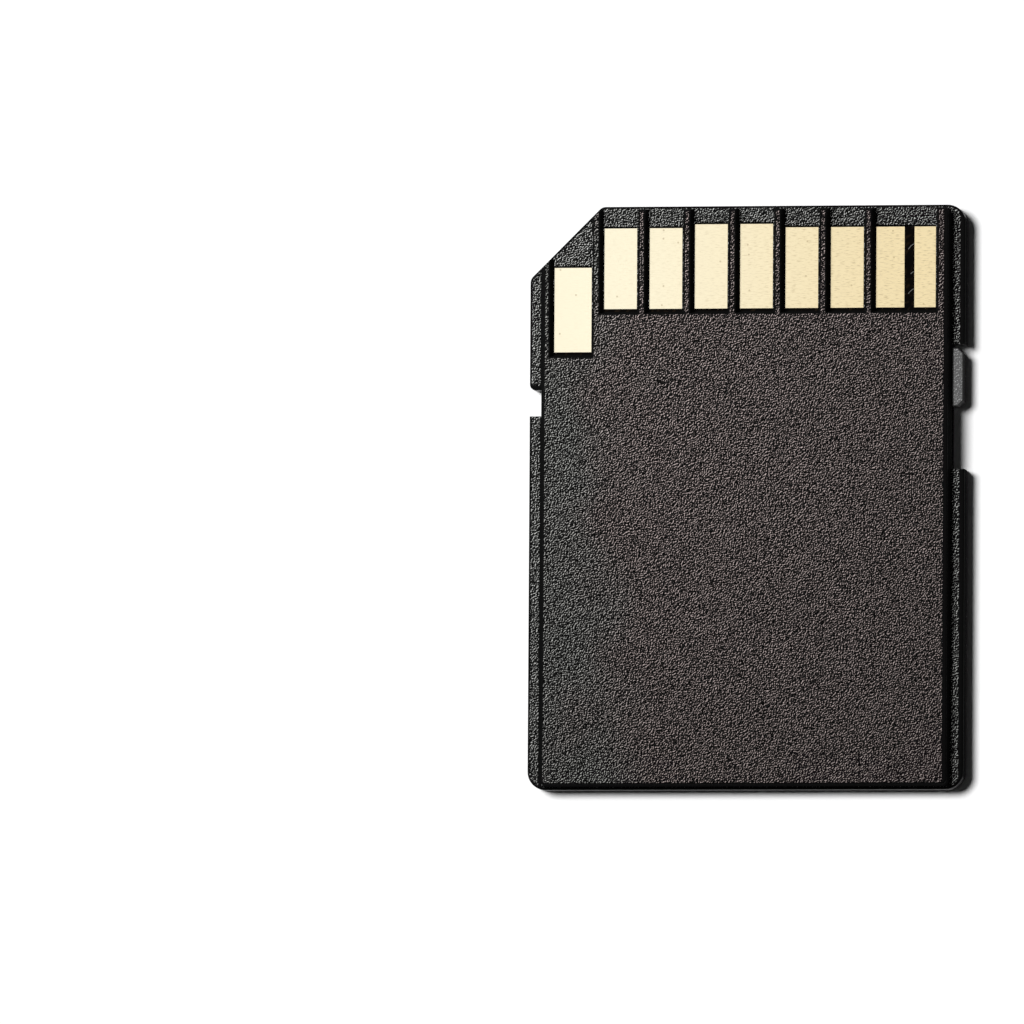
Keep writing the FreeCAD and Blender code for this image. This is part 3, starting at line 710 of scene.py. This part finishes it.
class Patterns:
    """Geometry trees for what repeats or follows a path."""

    CORNER_STEPS: int = 6
    RING_SIDES: int = 8
    WELD: float = 0.0001 * MM

    @staticmethod
    def start(name: str, inputs: dict[str, str]) -> tuple[Wiring, Any, Any]:
        """Open a new geometry tree with its named inputs.

        Args:
            name: Name of the tree.
            inputs: Socket name to socket type, after the geometry itself.

        Returns:
            The wiring of the tree, its inputs and its output.
        """
        tree = bpy.data.node_groups.new(name, "GeometryNodeTree")
        for label, kind in {"Geometry": "NodeSocketGeometry", **inputs}.items():
            tree.interface.new_socket(label, in_out="INPUT", socket_type=kind)
        tree.interface.new_socket("Geometry", in_out="OUTPUT", socket_type="NodeSocketGeometry")
        wiring = Wiring(tree)
        return wiring, wiring.node("NodeGroupInput").outputs, wiring.node("NodeGroupOutput").inputs

    @staticmethod
    def end(wiring: Wiring, made: bpy.types.NodeSocket, given: Any, result: Any) -> bpy.types.NodeTree:
        """Close a tree with real faces that wear one material.

        Args:
            wiring: Wiring of the tree.
            made: Geometry to close with.
            given: Inputs of the tree.
            result: Output of the tree.

        Returns:
            The tree.
        """
        real = wiring.node("GeometryNodeRealizeInstances", {"Geometry": made}).outputs["Geometry"]
        glint_share_or_dressed_mesh = wiring.node("GeometryNodeSetMaterial", {"Geometry": real, "Material": given["Material"]})
        wiring.feed(result["Geometry"], glint_share_or_dressed_mesh.outputs["Geometry"])
        return wiring.tree

    @classmethod
    def mark_row(cls) -> bpy.types.NodeTree:
        """Build a row of rounded flat marks along X, printed downwards from their places.

        Returns:
            The tree.
        """
        sizes = {name: "NodeSocketFloat" for name in ("Pitch", "Width", "Height", "Corner", "Thickness")}
        inputs = {"Count": "NodeSocketInt", **sizes, "Start": "NodeSocketVector",
                  "Material": "NodeSocketMaterial"}
        wiring, given, result = cls.start("mark_row", inputs)
        step = wiring.node("ShaderNodeCombineXYZ", {"X": given["Pitch"]}).outputs["Vector"]
        line = {"Count": given["Count"], "Start Location": given["Start"], "Offset": step}
        places = wiring.node("GeometryNodeMeshLine", line).outputs["Mesh"]
        sides = {"Width": given["Width"], "Height": given["Height"]}
        outline = wiring.node("GeometryNodeCurvePrimitiveQuadrilateral", sides).outputs["Curve"]
        rounding = {"Curve": outline, "Count": cls.CORNER_STEPS, "Radius": given["Corner"]}
        rounded = wiring.node("GeometryNodeFilletCurve", rounding, mode="POLY").outputs["Curve"]
        field = wiring.node("GeometryNodeFillCurve", {"Curve": rounded}, mode="NGONS").outputs["Mesh"]
        down = wiring.node("ShaderNodeCombineXYZ", {"Z": -1.0}).outputs["Vector"]
        sweep = {"Mesh": field, "Offset": down, "Offset Scale": given["Thickness"]}
        swept = wiring.node("GeometryNodeExtrudeMesh", sweep).outputs["Mesh"]
        back = wiring.node("GeometryNodeFlipFaces", {"Mesh": field}).outputs["Mesh"]
        parts = wiring.node("GeometryNodeJoinGeometry")
        for part in (back, swept):
            wiring.feed(parts.inputs["Geometry"], part)
        welding = {"Geometry": parts.outputs["Geometry"], "Distance": cls.WELD}
        mark = wiring.node("GeometryNodeMergeByDistance", welding).outputs["Geometry"]
        row = wiring.node("GeometryNodeInstanceOnPoints", {"Points": places, "Instance": mark})
        return cls.end(wiring, row.outputs["Instances"], given, result)

    @classmethod
    def fibres(cls) -> bpy.types.NodeTree:
        """Build round fibres along the edges of a mesh, smoothed between its points.

        Returns:
            The tree.
        """
        inputs = {"Radius": "NodeSocketFloat", "Points": "NodeSocketInt", "Material": "NodeSocketMaterial"}
        wiring, given, result = cls.start("fibres", inputs)
        path = wiring.node("GeometryNodeMeshToCurve", {"Mesh": given["Geometry"]}).outputs["Curve"]
        smooth = wiring.node("GeometryNodeCurveSplineType", {"Curve": path}, spline_type="CATMULL_ROM")
        spacing = {"Curve": smooth.outputs["Curve"], "Count": given["Points"]}
        even = wiring.node("GeometryNodeResampleCurve", spacing).outputs["Curve"]
        sides = {"Resolution": cls.RING_SIDES, "Radius": given["Radius"]}
        ring = wiring.node("GeometryNodeCurvePrimitiveCircle", sides).outputs["Curve"]
        sweep = {"Curve": even, "Profile Curve": ring, "Fill Caps": True}
        tube = wiring.node("GeometryNodeCurveToMesh", sweep).outputs["Mesh"]
        return cls.end(wiring, tube, given, result)

    @staticmethod
    def bake(name: str, tree: bpy.types.NodeTree, mesh: bpy.types.Mesh, values: dict) -> bpy.types.Object:
        """Run a tree on a mesh and keep the result as a plain piece.

        Args:
            name: Name of the piece.
            tree: Tree to run.
            mesh: Mesh that it starts from.
            values: Input name to value.

        Returns:
            The piece, linked to the scene.
        """
        piece = bpy.data.objects.new(name, mesh)
        bpy.context.scene.collection.objects.link(piece)
        modifier = piece.modifiers.new("pattern", "NODES")
        modifier.node_group = tree
        for item in tree.interface.items_tree:
            if item.in_out == "INPUT" and item.name in values:
                modifier[item.identifier] = values[item.name]
        graph = bpy.context.evaluated_depsgraph_get()
        made = bpy.data.meshes.new_from_object(piece.evaluated_get(graph))
        piece.modifiers.remove(modifier)
        piece.data = made
        made.name = name
        LOG.info("%s has %d faces", name, len(made.polygons))
        return piece


def dress(node: str, material: bpy.types.Material) -> None:
    """Put one material on every slot of a frame node.

    Args:
        node: Name of the node.
        material: Finish that it gets.
    """
    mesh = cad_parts[node].data
    if not mesh.materials:
        mesh.materials.append(material)
    for index in range(len(mesh.materials)):
        mesh.materials[index] = material
    LOG.info("%s wears %s", node, material.name)


# Pale crests are painted glints of the grain.
CASE_CREST_GLINT = PaintedCrestGlint(rail=(0.313, 0.315, 0.303), cool=(0.262, 0.264, 0.251), warm=(0.284, 0.236, 0.226))
CASE_VALLEY: Colour = (0.0005, 0.00045, 0.00045)
CASE_GRAIN = 0.060 * MM
CASE_GRAIN_DEPTH = 0.06 * MM
# The slider's pale crests are painted glints of its grain.
SLIDER_CREST_GLINT = PaintedCrestGlint.plain(0.207)
TIN: Colour = (0.72, 0.71, 0.69)
WHOLE_LENGTH: Span = (CAD_BOX[0].y, CAD_BOX[1].y)
RAIL_LEVEL: Span = (1.0 * MM, 1.9 * MM)
BODY_LEVEL: Span = (1.9 * MM, 2.2 * MM)


@dataclass
class Case:
    """The two moulded covers."""

    # The front cover's walls are painted lighter than the rear cover's: painted light from the bright floor
    # on the lower walls.
    front: MouldedPlastic = MouldedPlastic(
        name="front_plastic", valley=CASE_VALLEY, crest=CASE_CREST_GLINT, wall=(0.01, 0.01, 0.01), roughness=0.2,
        wall_roughness=0.25, wall_gloss=1.0, grain=CASE_GRAIN, depth=CASE_GRAIN_DEPTH)
    rear: MouldedPlastic = MouldedPlastic(
        name="rear_plastic", valley=CASE_VALLEY, crest=CASE_CREST_GLINT, wall=(0.002, 0.002, 0.002), roughness=0.2,
        wall_roughness=0.4, wall_gloss=0.8, grain=CASE_GRAIN, depth=CASE_GRAIN_DEPTH, bare=(
            Zone.between((10.90 * MM, 11.20 * MM), WHOLE_LENGTH, BODY_LEVEL),
            Zone.between((-11.40 * MM, -11.20 * MM), WHOLE_LENGTH, RAIL_LEVEL),
            Zone.between((11.72 * MM, 12.00 * MM), WHOLE_LENGTH, RAIL_LEVEL),
            Zone.between((-10.90 * MM, 10.90 * MM), (7.7 * MM, 10.4 * MM), RAIL_LEVEL)))

    def build(self) -> None:
        """Dress the two covers."""
        dress("front_cover", self.front.material())
        dress("rear_cover", self.rear.material())


@dataclass
class Slider:
    """The write-protect slider."""

    plastic: MouldedPlastic = MouldedPlastic(
        name="slider_plastic", valley=(0.053, 0.053, 0.053), crest=SLIDER_CREST_GLINT, wall=(0.02, 0.02, 0.02),
        roughness=0.3, wall_roughness=0.35, wall_gloss=0.6, grain=0.058 * MM, depth=0.03 * MM)

    def build(self) -> None:
        """Dress the slider."""
        dress("write_protect_slider", self.plastic.material())


@dataclass
class ContactField:
    """The board and the nine contacts that show in the windows."""

    count: int = 9
    # The pale end of the gold is a painted highlight at -X, fading to the deep end at +X.
    plate: GoldPlate = GoldPlate(
        name="contact_gold", pale=(0.96, 0.89, 0.685), deep=(0.87, 0.73, 0.445), stain=(0.30, 0.20, 0.08),
        roughness=0.45, line_length=0.30 * MM, line_width=0.05 * MM, depth=0.00003 * MM, span=10.0 * MM)
    mask: MattCoat = MattCoat(
        name="board_mask", colour=(0.001, 0.0008, 0.0007), tint=(0.005, 0.0033, 0.002), roughness=0.85,
        swing=0.08, grain=0.2 * MM, depth=0.004 * MM, gleam=0.01)

    def build(self) -> None:
        """Dress the contacts and the board."""
        gold = self.plate.material()
        for number in range(1, self.count + 1):
            dress(f"contact_{number}", gold)
        dress("circuit_board", self.mask.material())


@dataclass
class Electronics:
    """The chips and the small parts under the board."""

    capacitors: int = 4
    resistors: int = 6
    resin: MattCoat = MattCoat(
        name="chip_resin", colour=(0.008, 0.008, 0.008), tint=(0.03, 0.03, 0.03), roughness=0.5,
        swing=0.1, grain=0.05 * MM, depth=0.01 * MM, gleam=0.3)
    capacitor: CappedCeramic = CappedCeramic(
        name="capacitor", ceramic=(0.26, 0.15, 0.075), fleck=(0.33, 0.21, 0.12), tin=TIN, cap=0.25 * MM,
        grain=0.05 * MM)
    resistor: CappedCeramic = CappedCeramic(
        name="resistor", ceramic=(0.012, 0.012, 0.013), fleck=(0.03, 0.03, 0.03), tin=TIN, cap=0.25 * MM,
        grain=0.05 * MM)

    def build(self) -> None:
        """Dress the chips, the capacitors and the resistors."""
        resin = self.resin.material()
        for node in ("memory_chip", "controller_chip"):
            dress(node, resin)
        for kind, count, finish in (("capacitor", self.capacitors, self.capacitor),
                                    ("resistor", self.resistors, self.resistor)):
            for number in range(1, count + 1):
                node = f"{kind}_{number}"
                dress(node, finish.material(node))


@dataclass(frozen=True)
class Reach:
    """Where a fibre leaves the contact, along Y, and how far it reaches across and back from there."""

    lead: float
    across: float
    back: float


@dataclass
class Lint:
    """Paper fibres that are caught on the board beside the last contact."""

    radius: float = 0.018 * MM
    points: int = 14
    sway: float = 0.035 * MM
    reaches: tuple[Reach, ...] = (
        Reach(lead=13.86 * MM, across=0.31 * MM, back=0.30 * MM),
        Reach(lead=12.32 * MM, across=0.17 * MM, back=0.12 * MM),
        Reach(lead=11.39 * MM, across=0.30 * MM, back=0.27 * MM))
    finish: PaperLint = PaperLint(name="paper_lint", pale=(0.92, 0.91, 0.89), grey=(0.78, 0.77, 0.75))

    def build(self) -> None:
        """Lay each fibre on the board, from the flank of the contact outwards."""
        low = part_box("contact_8")[0]
        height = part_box("circuit_board")[1].z + self.radius
        mesh = bpy.data.meshes.new("lint_paths")
        points: list[Vector] = []
        edges: list[tuple[int, int]] = []
        for reach in self.reaches:
            first = len(points)
            start = Vector((low.x - 2 * self.radius, reach.lead, height))
            middle = start + Vector((-reach.across / 2, -reach.back / 2 + self.sway, 0.0))
            end = start + Vector((-reach.across, -reach.back, 0.0))
            points += [start, middle, end]
            edges += [(first, first + 1), (first + 1, first + 2)]
        mesh.from_pydata(points, edges, [])
        values = {"Radius": self.radius, "Points": self.points, "Material": self.finish.material()}
        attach(Patterns.bake("lint", Patterns.fibres(), mesh, values), "card")


@dataclass(frozen=True)
class MarkRow:
    """Row of like marks that is printed along X, from its first mark's centre."""

    name: str
    ink: Ink
    count: int
    pitch: float
    width: float
    height: float
    corner: float
    start: Span


@dataclass
class Label:
    """The label's film and the plain shapes that are printed on it."""

    ink: float = 0.008 * MM
    film: LabelFilm = LabelFilm(
        name="label_film", violet=(0.242, 0.048, 0.242), plum=(0.03, 0.009, 0.048),
        blue=(0.031, 0.024, 0.120), wave=3.4 * MM, reach=13.0 * MM)
    rows: tuple[MarkRow, ...] = (
        MarkRow("label_bars", Ink.RED, count=6, pitch=2.1 * MM, width=1.3 * MM, height=4.2 * MM,
                corner=0.3 * MM, start=(-5.2 * MM, -9.6 * MM)),
        MarkRow("label_dots", Ink.WHITE, count=9, pitch=1.6 * MM, width=0.7 * MM, height=0.7 * MM,
                corner=0.34 * MM, start=(-6.4 * MM, 8.9 * MM)),
        MarkRow("label_panel", Ink.WHITE, count=1, pitch=0.0, width=13.0 * MM, height=4.6 * MM,
                corner=0.5 * MM, start=(0.0, 4.6 * MM)))
    lock: Span = (9.75 * MM, 7.9 * MM)
    lock_width: float = 0.95 * MM
    lock_height: float = 0.70 * MM
    shackle: float = 0.30 * MM
    shackle_line: float = 0.13 * MM
    shackle_steps: int = 12
    wedge_lead: float = 7.0 * MM
    wedge_tail: float = 5.4 * MM
    wedge_width: float = 0.75 * MM

    def build(self) -> None:
        """Dress the film and print on it."""
        dress("label", self.film.material())
        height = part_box("label")[0].z
        tree = Patterns.mark_row()
        inks = {ink: ink.material() for ink in Ink}
        for row in self.rows:
            values = {"Count": row.count, "Pitch": row.pitch, "Width": row.width, "Height": row.height,
                      "Corner": row.corner, "Thickness": self.ink, "Start": (*row.start, height),
                      "Material": inks[row.ink]}
            seed = bpy.data.meshes.new(f"{row.name}_start")
            self.print_piece(Patterns.bake(row.name, tree, seed, values))
        self.print_piece(self.lock_mark(height, inks[Ink.WHITE]))

    @staticmethod
    def print_piece(piece: bpy.types.Object) -> None:
        """Let a printed piece ride on the card."""
        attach(piece, "card")

    def lock_mark(self, height: float, material: bpy.types.Material) -> bpy.types.Object:
        """Print the padlock and the wedge that point out the slider's locked end.

        Args:
            height: Height of the film's face.
            material: Ink.

        Returns:
            The printed piece.
        """
        across, along = self.lock
        half = self.lock_width / 2
        block = [(across + x, along + y) for x, y in ((-half, -self.lock_height), (half, -self.lock_height),
                                                      (half, 0.0), (-half, 0.0))]
        steps = [math.pi * index / self.shackle_steps for index in range(self.shackle_steps + 1)]
        inner = self.shackle - self.shackle_line
        bow = [(across + self.shackle * math.cos(a), along + self.shackle * math.sin(a)) for a in steps]
        bow += [(across + inner * math.cos(a), along + inner * math.sin(a)) for a in reversed(steps)]
        tip = self.wedge_width / 2
        wedge = [(across, self.wedge_tail), (across + tip, self.wedge_lead), (across - tip, self.wedge_lead)]
        mesh = bpy.data.meshes.new("lock_mark")
        shape = bmesh.new()
        for outline in (block, bow, wedge):
            face = shape.faces.new([shape.verts.new((x, y, height)) for x, y in outline])
            face.normal_update()
            if face.normal.z < 0:
                face.normal_flip()
            swept = bmesh.ops.extrude_face_region(shape, geom=[face], use_keep_orig=True)
            moved = [item for item in swept["geom"] if isinstance(item, bmesh.types.BMVert)]
            bmesh.ops.translate(shape, verts=moved, vec=(0.0, 0.0, -self.ink))
        bmesh.ops.recalc_face_normals(shape, faces=shape.faces)
        shape.to_mesh(mesh)
        shape.free()
        mesh.materials.append(material)
        piece = bpy.data.objects.new("lock_mark", mesh)
        bpy.context.scene.collection.objects.link(piece)
        LOG.info("lock_mark has %d faces", len(mesh.polygons))
        return piece


@dataclass(frozen=True)
class Softbox:
    """Round soft light that looks at the card.

    The tilt is the angle from straight up, and the turn runs about the upright from +X towards +Y.
    """

    name: str
    tilt: float
    turn: float
    distance: float
    radius: float
    radiance: float

    def build(self) -> bpy.types.Object:
        """Hang the light.

        Returns:
            The light's object.
        """
        lamp = bpy.data.lights.new(self.name, "AREA")
        lamp.shape = "DISK"
        lamp.size = 2 * self.radius
        lamp.energy = self.radiance * math.pi * math.pi * self.radius ** 2
        return hang(lamp, self.tilt, self.turn, self.distance)


def hang(lamp: bpy.types.Light, tilt: float, turn: float, distance: float) -> bpy.types.Object:
    """Hang a lamp in a direction from the card and turn it to the card.

    Args:
        lamp: Light to hang.
        tilt: Angle from straight up.
        turn: Angle about the upright, from +X towards +Y.
        distance: Distance from the card.

    Returns:
        The lamp's object.
    """
    across = math.sin(tilt)
    direction = Vector((math.cos(turn) * across, math.sin(turn) * across, math.cos(tilt)))
    hung = bpy.data.objects.new(lamp.name, lamp)
    hung.location = direction * distance
    hung.rotation_euler = direction.to_track_quat("Z", "Y").to_euler()
    bpy.context.scene.collection.objects.link(hung)
    return hung


@dataclass
class Studio:
    """Pale floor, soft light and the camera."""

    frame_pixels: int = 1024
    pixels_per_mm: float = 18.275
    aim: Span = (-12.83 * MM, -0.80 * MM)
    tilt_right: float = math.radians(8.2)
    tilt_down: float = math.radians(4.3)
    roll: float = math.radians(0.36)
    lens: float = 600.0
    sensor: float = 36.0
    clip_start: float = 0.01
    floor_radius: float = 4.0
    floor_steps: int = 64
    floor_shades: Span = (0.90, 0.92)
    floor_mottle: float = 25.0 * MM
    floor_roughness: float = 0.9
    floor_gleam: float = 0.1
    key: Softbox = Softbox("key", tilt=math.radians(25.0), turn=math.radians(138.0), distance=0.085,
                           radius=0.017, radiance=62.0)
    low: Softbox = Softbox("low", tilt=math.radians(4.0), turn=math.radians(152.0), distance=0.085,
                           radius=0.017, radiance=55.0)
    top: Softbox = Softbox("top", tilt=math.radians(10.0), turn=math.radians(152.0), distance=0.25,
                           radius=0.062, radiance=3.55)
    sun_tilt: float = math.radians(25.0)
    sun_turn: float = math.radians(152.0)
    sun_angle: float = math.radians(20.0)
    sun_strength: float = 3.9
    fill: float = 0.015
    glow: float = 1.6
    glow_low: float = 0.2
    glow_high: float = 0.7
    horizon: float = 0.01

    def build(self) -> None:
        """Build the floor, the lights and the camera."""
        self.light(self.lay_floor())
        self.aim_camera()

    def lay_floor(self) -> bpy.types.Object:
        """Lay a wide pale disc under the card.

        Returns:
            The floor.
        """
        mesh = bpy.data.meshes.new("floor")
        steps = self.floor_steps
        rim = [Vector((math.cos(a), math.sin(a), 0)) * self.floor_radius
               for a in (2 * math.pi * i / steps for i in range(steps))]
        mesh.from_pydata(rim, [], [list(range(steps))])
        floor = bpy.data.objects.new("floor", mesh)
        bpy.context.scene.collection.objects.link(floor)
        constants = {"Roughness": self.floor_roughness, "Specular IOR Level": self.floor_gleam}
        material, wiring, shader = new_material("floor_white", constants)
        mottle = wiring.noise(wiring.place(), self.floor_mottle)
        first, second = ((shade, shade, shade) for shade in self.floor_shades)
        wiring.feed(shader.inputs["Base Color"], wiring.mix(mottle, first, second))
        mesh.materials.append(material)
        return floor

    def light(self, floor: bpy.types.Object) -> None:
        """Hang the soft lights for the card, an even one for the floor, and a dim room round them.

        Args:
            floor: Floor that has a light of its own.
        """
        even = bpy.data.lights.new("floor_light", "SUN")
        even.energy = self.sun_strength
        even.angle = self.sun_angle
        overhead = hang(even, self.sun_tilt, self.sun_turn, self.key.distance)
        pale = [node for name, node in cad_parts.items() if name.startswith("contact_")]
        pale.append(bpy.data.objects["lint"])
        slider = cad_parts["write_protect_slider"]
        self.shine(overhead, [floor], "INCLUDE")
        self.shine(self.key.build(), [floor, slider, *pale], "EXCLUDE")
        self.shine(self.low.build(), [slider], "INCLUDE")
        self.shine(self.top.build(), pale, "INCLUDE")
        world = bpy.data.worlds.new("room")
        world.use_nodes = True
        wiring = Wiring(world.node_tree)
        background = world.node_tree.nodes["Background"]
        way = wiring.node("ShaderNodeTexCoord").outputs["Generated"]
        upward = wiring.node("ShaderNodeSeparateXYZ", {0: way}).outputs["Z"]
        wall = wiring.ramp(upward, self.glow_high, self.glow_low, self.fill, self.glow)
        room = wiring.ramp(upward, -self.horizon, self.horizon, self.fill, wall)
        path = wiring.node("ShaderNodeLightPath").outputs
        mirrored = wiring.ramp(path["Is Glossy Ray"], 0.0, 1.0, self.fill, room)
        seen = wiring.ramp(path["Is Camera Ray"], 0.0, 1.0, mirrored, 1.0)
        wiring.feed(background.inputs["Strength"], seen)
        background.inputs["Color"].default_value = (1.0, 1.0, 1.0, 1.0)
        bpy.context.scene.world = world
        bpy.context.scene.view_settings.view_transform = "Standard"

    @staticmethod
    def shine(lamp: bpy.types.Object, pieces: list[bpy.types.Object], state: str) -> None:
        """Say which pieces a lamp lights.

        Args:
            lamp: Lamp that is aimed.
            pieces: Pieces that it is aimed at or kept off.
            state: INCLUDE for these pieces alone, EXCLUDE for everything else.
        """
        group = bpy.data.collections.new(f"{lamp.name}_pieces")
        for piece in pieces:
            group.objects.link(piece)
        for entry in group.collection_objects:
            entry.light_linking.link_state = state
        lamp.light_linking.receiver_collection = group

    def aim_camera(self) -> None:
        """Look down on the card from the photograph's side, with its framing."""
        data = bpy.data.cameras.new("camera")
        data.lens = self.lens
        data.sensor_width = self.sensor
        data.clip_start = self.clip_start
        back = Vector((math.tan(self.tilt_right), -math.tan(self.tilt_down), 1.0)).normalized()
        level = Vector((0.0, 1.0, 0.0)).cross(back).normalized()
        right = level * math.cos(self.roll) + back.cross(level) * math.sin(self.roll)
        up = back.cross(right)
        field = self.frame_pixels / self.pixels_per_mm * MM
        distance = field * self.lens / self.sensor
        target = Vector((*self.aim, CAD_BOX[1].z))
        camera = bpy.data.objects.new("camera", data)
        turn = Matrix((right, up, back)).transposed().to_4x4()
        camera.matrix_world = Matrix.Translation(target + back * distance) @ turn
        bpy.context.scene.collection.objects.link(camera)
        bpy.context.scene.camera = camera


def main() -> None:
    """Dress the card and set up the studio."""
    logging.basicConfig(level=logging.INFO, format="%(message)s")
    for part in (Case(), Slider(), ContactField(), Electronics(), Lint(), Label(), Studio()):
        part.build()


if __name__ == "__main__":
    main()
